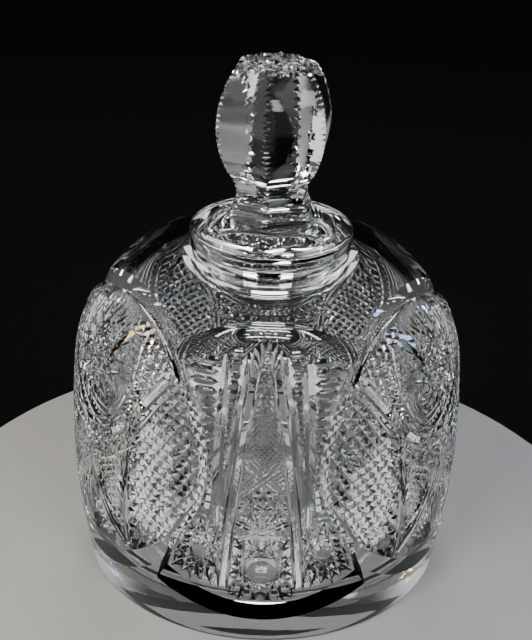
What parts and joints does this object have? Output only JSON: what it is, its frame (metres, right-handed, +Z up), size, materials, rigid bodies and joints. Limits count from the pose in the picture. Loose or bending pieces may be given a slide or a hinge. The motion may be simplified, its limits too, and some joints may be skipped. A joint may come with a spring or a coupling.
{
  "type": "powder jar",
  "caption": "Round-shouldered cut-crystal powder jar with a short neck, and a loose lid with a plug under its rim and a faceted knob.",
  "frame": {"origin": "centre of the foot, on the surface that the jar stands on", "axes": "+Z up along the axis of the jar and its lid; -Y towards the middle of a ground panel"},
  "size_m": [0.1286, 0.1264, 0.17],
  "materials": {
    "lead_crystal": "clear polished lead crystal with ground and polished cuts"
  },
  "bodies": {
    "jar": {"jar_body": "lead_crystal"},
    "lid": {"lid": "lead_crystal"}
  },
  "joints": [
    {"name": "lid_lift", "type": "slide", "parent": "jar", "child": "lid", "axis": [0, 0, 1], "range_m": [0, 0.06]}
  ]
}
